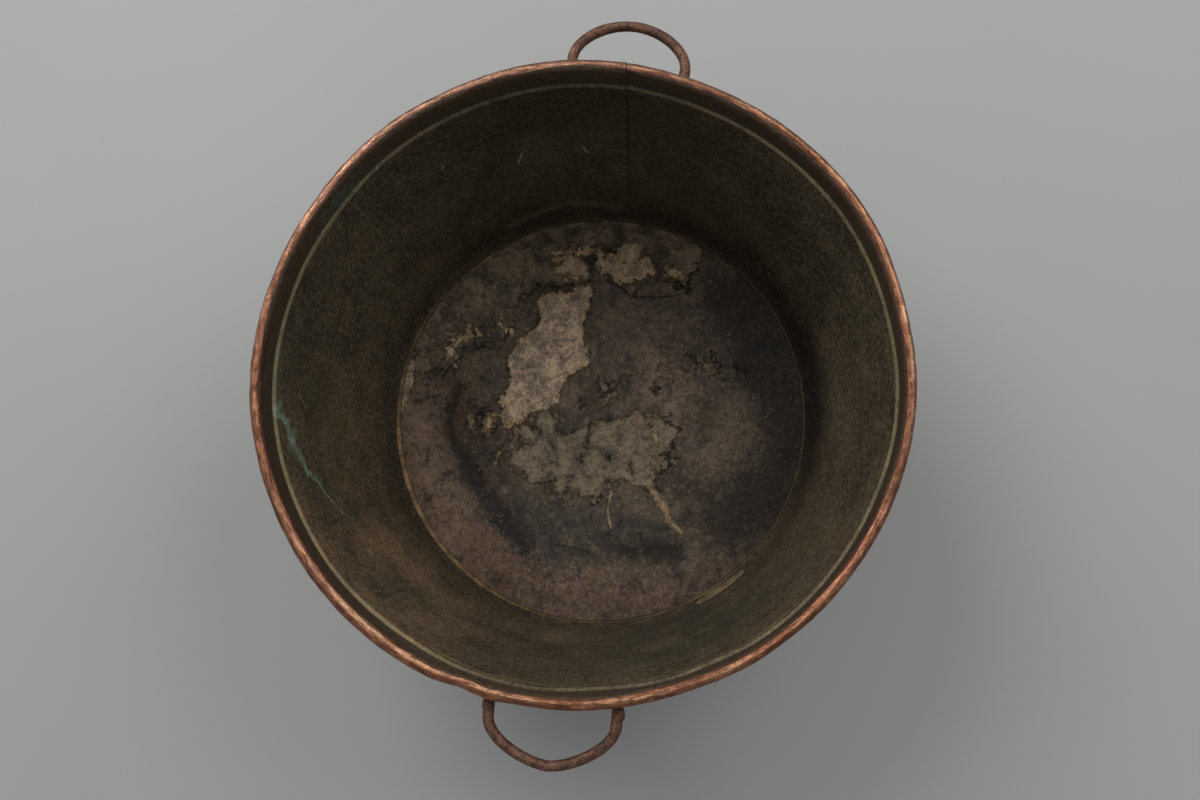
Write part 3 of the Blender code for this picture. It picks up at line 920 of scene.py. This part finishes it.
def make_rim(columns=1080):
    """The neck and the rolled edge, as one sheet whose ends meet at the seam."""
    profile, angles = rim_rows()
    side = side_of(profile)
    turns = np.linspace(0, math.tau - SEAM_SLIT, columns + 1)
    tail = np.arange(1, round(columns * LAP_TAIL / math.tau) + 1) * math.tau / columns
    turn, row = np.meshgrid(np.concatenate([turns, math.tau + tail]), np.arange(len(profile)))
    azimuth = -turn
    angle = angles[row]
    on_neck = angle > math.pi - 1e-6
    on_roll = smoothstep(math.pi, math.pi - 0.5, angle)
    ring = polar(RING, azimuth, angle * 0.006)
    swell = 0.07 * cloudy(ring, 0.060, 31)
    swell += 0.10 * around(azimuth, 215, 30) + 0.06 * around(azimuth, 180, 40)
    swell += 0.10 * around(azimuth, 186, 5) - 0.10 * around(azimuth, 192, 4)
    swell += 0.05 * smoothstep(0.10, 0.0, turn)
    anchor = np.array([NECK_RADIUS, ROLL_HEIGHT])
    grown = anchor + (profile[row] - anchor) * (1 + swell[..., None])
    grown = np.where(on_roll[..., None] > 0, grown, profile[row])
    push = -hammer_marks(azimuth, angle, 1500, 5) * on_roll
    push += 0.00022 * cloudy(ring, 0.012, 41) * on_roll
    push += 0.00035 * cloudy(ring * np.array([1, 1, 3.0]), 0.025, 47, 2) * on_roll
    push -= lap_lift(turn) * smoothstep(math.pi - 0.9, math.pi, angle)
    radius = grown[..., 0] + side[row, 0] * push
    height = np.minimum(grown[..., 1] + side[row, 1] * push, HEIGHT + 0.001)
    keep = (turn[1:, 1:] < math.tau) | on_neck[1:, 1:]
    mesh = sheet_mesh("rim", settle(polar(radius, azimuth, height)), keep)

    scallop = cloudy(polar(RING, azimuth, 0), 0.038, 51, 2)
    limit = by_azimuth(azimuth, BRIGHT_LIMIT) + (0.10 + 0.25 * around(azimuth, 320, 80)) * scallop
    wear = smoothstep(limit + 0.14, limit - 0.14, angle) * smoothstep(-1.0, 0.5, angle)
    # More bright copper towards azimuths 80 and 225, where the light's reflections lie: partly wear, partly
    # painted highlight.
    wear_and_sheen_level = 0.62 + 0.28 * around(azimuth, 80, 50) + 0.22 * around(azimuth, 225, 50)
    wear_and_sheen_level += 0.12 * around(azimuth, 270, 40) - 0.16 * around(azimuth, 140, 40)
    deep = smoothstep(ROLL_HEIGHT - 0.002, ROLL_HEIGHT - 0.012, height) * (angle > 3.0)
    green = 0.9 * deep * around(azimuth, 298, 14)
    deep = deep * (0.70 - 0.35 * around(azimuth, 195, 30))
    # Painted highlight along the roll; its angle and strength are set by azimuth.
    peak = by_azimuth(azimuth, HIGHLIGHT_ANGLE) + 0.25 * cloudy(ring, 0.06, 57, 2)
    crest = np.exp(-(((angle - peak) / 0.34) ** 2)) * by_azimuth(azimuth, HIGHLIGHT_STRENGTH)
    pink = around(azimuth, 322, 70) + 0.25 * around(azimuth, 218, 40)
    # Darker red-brown on the roll's inner face: patina and painted shade.
    flush = 0.55 + 0.45 * around(azimuth, 250, 60) + 0.35 * around(azimuth, 95, 80)
    flush = flush * smoothstep(ROLL_HEIGHT - 0.014, ROLL_HEIGHT - 0.001, height)
    across = height + (math.pi - angle) * ROLL_RADIUS
    add_fields(mesh, wear=wear * wear_and_sheen_level, deep=deep, green=green, flush=flush, crest=crest, pink=pink)
    add_fields(mesh, soot=0 * turn, along=azimuth * ROUND, across=across)
    drop_loose(mesh)
    rim = new_piece("rim", mesh, ["wall_sheet"], "copper_wall", COPPER_OUTSIDE, COPPER_RIM)
    add_thickness(rim, SHEET)


def make_rim_wire(columns=540, sides=12):
    """The iron wire inside the roll, a little uneven."""
    turn, spin = np.meshgrid(circle(columns), np.arange(sides + 1) * math.tau / sides)
    size = WIRE_RADIUS * (1 + 0.03 * cloudy(polar(ROUND, turn, 0), 0.05, 61))
    radius = NECK_RADIUS + ROLL_RADIUS + size * np.cos(spin)
    points = settle(polar(radius, turn, ROLL_HEIGHT + size * np.sin(spin)))
    new_piece("rim_core", ring_mesh("rim_core", points), ["rim_wire"], "iron_wire", rim_wire_iron())


# ---------------------------------------------------------------- floor, braze and patch

# Stains, scale, crust and painted shadow on the bottom: strength, softness of the edge and corners of an
# outline, in millimetres
FLOOR_FIELDS = {
    "crust": [
        (1.0, 16, [(-40, 175), (-35, 150), (-42, 105), (-25, 70), (-55, 40), (-60, 10), (-105, -25),
         (-120, -30), (-130, 0), (-125, 25), (-135, 65), (-105, 105), (-100, 150)]),
        (0.66, 20, [(-75, 178), (-25, 192), (15, 175), (55, 198), (95, 188), (60, 225), (10, 242),
         (-70, 232), (-110, 200)]),
        (0.6, 30, [(-245, 70), (-212, 28), (-190, 64), (-155, 76), (-142, 98), (-145, 122), (-175, 114),
         (-215, 94)]),
        (0.95, 8, [(-270, 55), (-257, 55), (-256, 10), (-264, -40), (-280, 0)]),
        (0.3, 24, [(64, 37), (101, 60), (139, 72), (184, 80), (142, 100), (103, 94)]),
        (0.26, 26, [(-175, 0), (-130, -10), (-105, -60), (-115, -110), (-155, -70)]),
        (0.26, 20, [(50, 10), (80, 10), (100, -50), (80, -80), (60, -40)]),
    ],
    "pale": [
        (0.95, 22, [(-300, 20), (-218, 24), (-200, 40), (-188, 66), (-154, 75), (-141, 100), (-134, 140),
         (-83, 169), (-24, 188), (16, 172), (54, 195), (92, 188), (110, 280), (-100, 300), (-260, 210)]),
        (0.74, 30, [(-113, -30), (-115, -78), (-92, -94), (-55, -109), (-7, -114), (31, -106), (41, -81),
         (82, -88), (109, -44), (110, -4), (72, 28), (34, 12), (-35, -15), (-72, 0)]),
        (0.52, 30, [(60, 30), (140, 60), (190, 85), (130, 120), (60, 80)]),
        (0.5, 30, [(-192, 10), (-134, 10), (-115, -78), (-130, -110), (-180, -47)]),
        (0.46, 30, [(-20, 60), (60, 80), (50, 20), (-30, -10)]),
    ],
    "dark": [
        (0.95, 55, [(120, 215), (200, 230), (310, 150), (310, -100), (205, -160), (170, -160), (150, -105),
         (162, -70), (205, -28), (205, 18), (186, 60), (160, 92), (151, 132), (112, 168)]),
        # Painted shadow below the lower edge of the top crust.
        (0.4, 18, [(-100, 160), (-20, 176), (16, 160), (60, 180), (110, 170), (60, 150), (-15, 140),
         (-25, 90), (-45, 150)]),
        (0.8, 16, [(-206, 30), (-186, 20), (-184, -45), (-140, -100), (-90, -143), (-50, -178), (-68, -208),
         (-128, -158), (-176, -102), (-204, -45)]),
        (0.44, 40, [(-130, -200), (-40, -215), (90, -205), (220, -130), (260, -200), (80, -320),
         (-150, -290)]),
        (0.8, 22, [(10, -150), (50, -165), (90, -150), (140, -150), (130, -178), (40, -185)]),
    ],
    "slate": [
        (0.9, 26, [(-108, -110), (-54, -116), (33, -116), (60, -110), (110, -130), (134, -172), (43, -190),
         (-26, -212), (-75, -200), (-100, -150)]),
        (0.6, 30, [(-160, 50), (-110, 70), (-125, 10), (-180, 10)]),
        (0.55, 40, [(100, 160), (160, 150), (150, 100), (90, 110)]),
    ],
    "brown": [
        (0.85, 40, [(-310, 10), (-215, 10), (-208, -45), (-175, -105), (-120, -160), (-60, -210),
         (46, -205), (166, -175), (235, -130), (290, -180), (80, -320), (-150, -290), (-290, -150)]),
    ],
    "rust": [
        (0.7, 20, [(-110, 145), (-75, 155), (-70, 120), (-100, 115)]),
        (0.55, 30, [(-215, 10), (-165, 0), (-170, -50), (-205, -50)]),
        (0.8, 30, [(-190, -160), (-120, -185), (-60, -220), (-20, -250), (-100, -250)]),
        (0.45, 50, [(-60, -215), (100, -210), (110, -260), (-40, -260)]),
    ],
    "light": [
        (0.75, 30, [(-268, -10), (-222, -20), (-205, -90), (-150, -160), (-175, -205), (-235, -130)]),
        (0.65, 30, [(20, 30), (60, 90), (130, 80), (110, -10)]),
        (0.6, 30, [(-120, 190), (-20, 188), (16, 172), (100, 188), (80, 245), (-80, 245)]),
    ],
    "chips": [
        (0.8, 60, [(-130, -150), (-60, -190), (20, -195), (60, -215), (-40, -235), (-120, -200)]),
        (0.6, 40, [(-120, -30), (-60, -20), (-40, -90), (-110, -110)]),
    ],
}


def depth_inside(x, y, corners):
    """How far points lie inside a closed outline, in metres; less than 0 outside it."""
    corners = [on_floor(*corner) for corner in corners]
    nearest = np.full(len(x), 9.0)
    inside = np.zeros(len(x), bool)
    for (ax, ay), (bx, by) in zip(corners, corners[1:] + corners[:1]):
        length = math.hypot(bx - ax, by - ay)
        t = np.clip(((x - ax) * (bx - ax) + (y - ay) * (by - ay)) / length**2, 0, 1)
        nearest = np.minimum(nearest, np.hypot(x - ax - t * (bx - ax), y - ay - t * (by - ay)))
        if ay != by:
            inside ^= ((ay > y) != (by > y)) & (x < ax + (y - ay) * (bx - ax) / (by - ay))
    return np.where(inside, nearest, -nearest)


def blotches(x, y, spots):
    """A field, 0 to about 1, that rises over the edge of each outline."""
    place = np.stack([x, y, 0 * x], axis=1)
    x = x + 0.005 * cloudy(place, 0.040, 201, 4)
    y = y + 0.005 * cloudy(place, 0.040, 211, 4)
    total = np.zeros_like(x)
    for strength, soft, corners in spots:
        rise = smoothstep(-soft / 1000, soft / 1000, depth_inside(x, y, corners))
        total = np.maximum(total, strength * rise)
    return total


def make_floor(columns=360, rings=105, rings_below=40):
    """The bottom: a dished disc whose edge is turned up round the outside of the wall's foot."""
    foot = foot_profile()
    side = side_of(wall_rows())[: len(foot)]
    inside = foot - side * (SHEET + GAP)
    outside = foot - side * (SHEET + GAP + FLOOR_SHEET)
    edge = inside[0][0] - 0.0010
    stand = outside[0][0] - 0.0016
    profile = [(edge * k / rings, FLOOR_SHEET) for k in range(rings + 1)]
    profile += [*map(tuple, inside), *map(tuple, outside[::-1]), (outside[0][0] - 0.0004, 0.0008)]
    profile += [(stand * (1 - k / rings_below), 0.0) for k in range(rings_below + 1)]

    def shape(points):
        calm = smoothstep(edge, edge - 0.03, np.hypot(points[:, 0], points[:, 1]))
        dish = cloudy(points * np.array([1, 1, 0]), 0.11, 71)
        return settle(points + np.outer(calm * (0.0009 + 0.0008 * dish), [0, 0, 1]))

    mesh = turned_mesh("bottom", profile, columns, shape)
    x, y, _ = read_vectors(mesh.vertices, "co").T
    add_fields(mesh, **{name: blotches(x, y, spots) for name, spots in FLOOR_FIELDS.items()})
    add_fields(mesh, soot=np.full(len(x), 0.9))
    turned_up = (np.hypot(x, y) > edge + 0.001).tolist()
    kind = [1 if face.normal.z < -0.5 else 2 * turned_up[face.vertices[0]] for face in mesh.polygons]
    mesh.polygons.foreach_set("material_index", kind)
    coats = (floor_inside(), floor_underside(), COPPER_OUTSIDE)
    new_piece("bottom", mesh, ["floor_sheet"], "copper_floor", *coats)


def make_braze(columns=900):
    """Lumpy fillet of brass round the joint between the wall's foot and the bottom."""
    foot = foot_profile()
    face = foot + side_of(wall_rows())[: len(foot)] * 0.0002
    bed = FLOOR_SHEET + 0.0002
    azimuth = circle(columns)
    size = 0.52 + 0.16 * cloudy(polar(0.27, azimuth, 0), 0.018, 81)
    size = size + 0.55 * around(azimuth, 240, 60) + 0.20 * around(azimuth, 140, 30)
    reach = 0.0040 * size
    rise = (face[2][1] - bed) * (0.35 + 0.55 * size)
    rows = []
    for along, up in ((0.0, 1.0), (0.25, 0.68), (0.5, 0.42), (0.75, 0.20), (1.0, 0.0)):
        on_face = np.interp(bed + rise * up, face[:, 1], face[:, 0])
        radius = on_face * up + (face[0][0] - reach * along) * (1 - up)
        rows.append(polar(radius, azimuth, bed + rise * up))
    rows += [polar(face[0][0] - reach * 0.5, azimuth, bed), polar(face[0][0], azimuth, bed), rows[0]]
    mesh = ring_mesh("braze", settle(np.array(rows)))
    tarnish = 0.85 - 0.85 * around(azimuth, 238, 90) - 0.25 * around(azimuth, 140, 30)
    add_fields(mesh, tarnish=np.tile(np.clip(tarnish, 0, 1), len(rows) - 1))
    new_piece("braze", mesh, ["floor_braze"], "brass_braze", brass_braze())


def make_patch(columns=90, rows=16):
    """A run of old solder along the foot of the wall, with torn ends."""
    low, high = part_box("foot_patch")
    profile = wall_rows()[:16]
    azimuth, share = np.meshgrid(np.linspace(PATCH_END, PATCH_START, columns), np.linspace(-1, 1, rows))
    t = (azimuth - PATCH_START) / (PATCH_END - PATCH_START)
    swell = np.sqrt(np.clip(1 - np.abs(2 * t - 1) ** 3, 0, 1))
    torn = 1 + 0.30 * cloudy(polar(0.28, azimuth, share * 0.004), 0.010, 91)
    z = (low[2] + high[2]) / 2 + share * (high[2] - low[2]) / 2 * (0.2 + 0.8 * swell) * torn
    radius = np.interp(z, profile[:, 1], profile[:, 0]) - 0.0004
    dome = 0.0010 * (1 - share**2) * swell * torn
    mesh = sheet_mesh("solder_patch", settle(polar(radius - dome, azimuth, z)))
    patch = new_piece("solder_patch", mesh, ["foot_patch"], "old_solder", old_solder())
    add_thickness(patch, 0.0009, 0, -1.0)


# ---------------------------------------------------------------- handles and rivets


def bow_path(spacing, straight, reach, pull, samples=40):
    """Centre line of a bow in its own frame: +Y points away from the cauldron."""
    side = spacing / 2
    root = math.sqrt((PAD_INSIDE + PAD_THICKNESS / 2) ** 2 - side**2)
    start = np.array([side, RIM_RADIUS + straight])
    shoulder = start + np.array([0.0, SHOULDER])
    top = np.array([0.0, reach - ROD_RADIUS])
    crown = top + np.array(pull)
    half = [np.array([side, root + (start[1] - root) * k / 8]) for k in range(8)]
    for k in range(samples + 1):
        t = k / samples
        near = start * (1 - t) ** 3 + shoulder * (3 * t * (1 - t) ** 2)
        half.append(near + crown * (3 * t**2 * (1 - t)) + top * t**3)
    half = np.array(half)
    return np.vstack([half, (half * np.array([-1, 1]))[-2::-1]])


def rod_parts(path, radii, sides=20):
    """Vertices and faces of a capped round rod along a flat path."""
    along = np.gradient(path, axis=0)
    along /= np.linalg.norm(along, axis=1)[:, None]
    across = np.stack([along[:, 1], -along[:, 0]], axis=1)
    points = []
    for centre, sideways, radius in zip(path, across, radii):
        for k in range(sides):
            a = 2 * math.pi * k / sides
            flat = centre + sideways * radius * math.cos(a)
            points.append((flat[0], flat[1], radius * math.sin(a)))
    faces = []
    for i in range(len(path) - 1):
        for k in range(sides):
            after = (k + 1) % sides
            faces.append((i * sides + k, i * sides + after, (i + 1) * sides + after, (i + 1) * sides + k))
    faces.append(tuple(range(sides))[::-1])
    faces.append(tuple((len(path) - 1) * sides + k for k in range(sides)))
    return points, faces


def pad_parts(leg_azimuth, side, columns=28, rows=9):
    """Vertices and faces of one leaf-shaped pad, bent to the neck."""
    layers = []
    for radius in (PAD_INSIDE, PAD_INSIDE + PAD_THICKNESS):
        layer = []
        for i in range(rows):
            for j in range(columns):
                t = j / (columns - 1)
                taper = max(0.0, (t - 0.55) / 0.45)
                half = PAD_TIP_HALF_HEIGHT
                half += (PAD_HALF_HEIGHT - PAD_TIP_HALF_HEIGHT) * math.sqrt(1 - 0.98 * taper**2)
                share = 2 * i / (rows - 1) - 1
                thin = 1 - (0.45 * share**4 + 0.35 * taper**3) if radius > PAD_INSIDE else 1
                depth = PAD_INSIDE + (radius - PAD_INSIDE) * thin
                a = side * (leg_azimuth - PAD_HEEL + (PAD_HEEL + PAD_LENGTH) * t)
                layer.append((depth * math.sin(a), depth * math.cos(a), half * share))
        layers += layer
    count = rows * columns
    faces = []
    for i in range(rows - 1):
        for j in range(columns - 1):
            a, b = i * columns + j, i * columns + j + 1
            c, d = b + columns, a + columns
            faces.append((a, b, c, d))
            faces.append((count + d, count + c, count + b, count + a))
    edge = list(range(columns))
    edge += [i * columns + columns - 1 for i in range(1, rows)]
    edge += [(rows - 1) * columns + j for j in range(columns - 2, -1, -1)]
    edge += [i * columns for i in range(rows - 2, 0, -1)]
    for a, b in zip(edge, edge[1:] + edge[:1]):
        faces.append((b, a, count + a, count + b))
    return layers, faces


def place_on_neck(mesh, sideways, outwards, up, azimuth):
    """Turns a fitting to its azimuth, and moves it as far as the neck itself has moved there."""
    x = sideways * math.cos(azimuth) + outwards * math.sin(azimuth)
    y = outwards * math.cos(azimuth) - sideways * math.sin(azimuth)
    neck = polar(NECK_RADIUS, np.arctan2(x, y), HANDLE_HEIGHT)
    hold = smoothstep(RIM_RADIUS + 0.010, NECK_RADIUS + 0.004, np.hypot(x, y))[:, None]
    set_points(mesh, np.stack([x, y, up + HANDLE_HEIGHT], axis=1) + (settle(neck) - neck) * hold)


def make_handle(name):
    """A forged bow with its two pads, welded by remeshing, then hammered and pitted."""
    turn, spacing, straight, reach, pull = HANDLES[name]
    path = bow_path(spacing, straight, reach, pull)
    share = np.linspace(-1, 1, len(path))
    radii = ROD_RADIUS * (0.97 + 0.05 * np.abs(share) ** 3)
    if name == "front":
        for spot, height in ((-0.905, 0.0011), (0.905, 0.0017)):
            knob = np.exp(-(((share - spot) / 0.018) ** 2))
            radii += 0.6 * height * knob
            path = path + np.stack([-np.sign(spot) * height * knob, 0 * knob], axis=1)
        radii += 0.0003 * smoothstep(0.70, 0.84, share)
    points, faces = rod_parts(path, radii)
    leg_azimuth = math.asin(spacing / 2 / (PAD_INSIDE + PAD_THICKNESS / 2))
    for side in (-1, 1):
        more, more_faces = pad_parts(leg_azimuth, side)
        faces += [tuple(v + len(points) for v in face) for face in more_faces]
        points += more
    shell = add_object("shell", new_mesh(f"bow_{name}", np.array(points), faces))
    remesh = shell.modifiers.new("weld", "REMESH")
    remesh.mode = "VOXEL"
    remesh.voxel_size = VOXEL
    relax = shell.modifiers.new("relax", "SMOOTH")
    relax.factor = 0.5
    relax.iterations = 3
    bpy.context.view_layer.update()
    depsgraph = bpy.context.evaluated_depsgraph_get()
    mesh = bpy.data.meshes.new_from_object(shell.evaluated_get(depsgraph))
    bpy.data.objects.remove(shell, do_unlink=True)
    mesh.name = f"bow_{name}"
    spots = read_vectors(mesh.vertices, "co")
    forged = 0.00036 * cloudy(spots, 0.030, 101, 2) + 0.00016 * cloudy(spots, 0.0040, 107)
    spots = spots + read_vectors(mesh.vertex_normals, "vector") * forged[:, None]
    place_on_neck(mesh, *spots.T, turn)
    mesh.shade_smooth()
    new_piece(f"bow_{name}", mesh, [f"handle_{name}"], "forged_iron", IRON)


def make_rivet(name):
    """A hammered copper rivet: faceted dome outside the pad, low flat head inside the neck."""
    low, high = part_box(name)
    azimuth = math.atan2(low[0] + high[0], low[1] + high[1])
    outside = PAD_INSIDE + PAD_THICKNESS
    inside = NECK_RADIUS - outside
    profile = [(0.0, 0.0034)]
    for k in range(1, 9):
        a = math.pi / 2 * k / 8
        profile.append((RIVET_HEAD * math.sin(a), 0.0004 + 0.0030 * math.cos(a)))
    profile += [(RIVET_SHANK, 0.0004), (RIVET_SHANK, inside - 0.0002), (0.0044, inside - 0.0002)]
    profile += [(0.0042, inside - 0.0006), (0.0030, inside - 0.0009), (0.0, inside - 0.0009)]
    draw = np.random.default_rng(sum(map(ord, name)))
    flats = draw.normal(size=(7, 3))
    flats[:, 2] = np.abs(flats[:, 2]) + 0.7
    flats /= np.linalg.norm(flats, axis=1)[:, None]

    def shape(points):
        for flat in flats:
            over = np.maximum(points @ flat - (0.0030 + 0.0022 * np.hypot(flat[0], flat[1])), 0)
            points = points - over[:, None] * flat * (points[:, 2:3] > 0.0005)
        return points

    mesh = turned_mesh(name, profile, 32, shape)
    across, up, out = read_vectors(mesh.vertices, "co").T
    add_fields(mesh, deep=np.full(len(out), 0.6))
    inner = [int(all(out[v] < -PAD_THICKNESS for v in face.vertices)) for face in mesh.polygons]
    mesh.polygons.foreach_set("material_index", inner)
    place_on_neck(mesh, across, outside + out, up, azimuth)
    new_piece(f"{name}_head", mesh, [name], "copper_rivet", RIVET_COPPER, COPPER_RIM)


# ---------------------------------------------------------------- floor of the studio, light, camera


def make_stage():
    """A plain pale floor."""
    edge = polar(STAGE_RADIUS, circle(STAGE_CORNERS), 0.0)[::-1]
    mesh = new_mesh("studio_floor", edge, [tuple(range(STAGE_CORNERS))], False)
    floor = add_object("studio_floor", mesh)
    floor.location.z = -STAGE_DROP
    look = Look("studio_floor")
    mesh.materials.append(look.finish(look.blend((170, 170, 169), (182, 182, 181), look.noise(1.3, 4)), 0.85))


def make_light():
    for name, place, size, power in LIGHTS:
        light = bpy.data.lights.new(name, "AREA")
        light.shape = "DISK"
        light.size = size
        light.energy = power
        item = add_object(name, light)
        item.location = place
        item.rotation_euler = (LIGHT_AIM - Vector(place)).to_track_quat("-Z", "Y").to_euler()
    world = bpy.data.worlds.new("studio")
    world.use_nodes = True
    background = world.node_tree.nodes["Background"]
    background.inputs["Color"].default_value = WORLD_COLOUR
    background.inputs["Strength"].default_value = WORLD_STRENGTH
    bpy.context.scene.world = world


def make_camera():
    camera = bpy.data.cameras.new("camera")
    camera.lens = CAMERA_LENS
    camera.sensor_width = 36
    item = add_object("camera", camera)
    item.location = CAMERA_PLACE
    item.rotation_euler = [math.radians(turn) for turn in CAMERA_TURN]
    bpy.context.scene.camera = item
    bpy.context.scene.view_settings.view_transform = "Standard"


COPPER_OUTSIDE = copper_outside()
COPPER_RIM = copper_rim()
IRON = forged_iron()
RIVET_COPPER = copper_rivet()
make_camera()
make_light()
make_stage()
make_wall()
make_rim()
make_rim_wire()
make_floor()
make_braze()
make_patch()
for handle_name in HANDLES:
    make_handle(handle_name)
    for number in range(1, 5):
        make_rivet(f"rivet_{handle_name}_{number}")

bpy.context.view_layer.update()
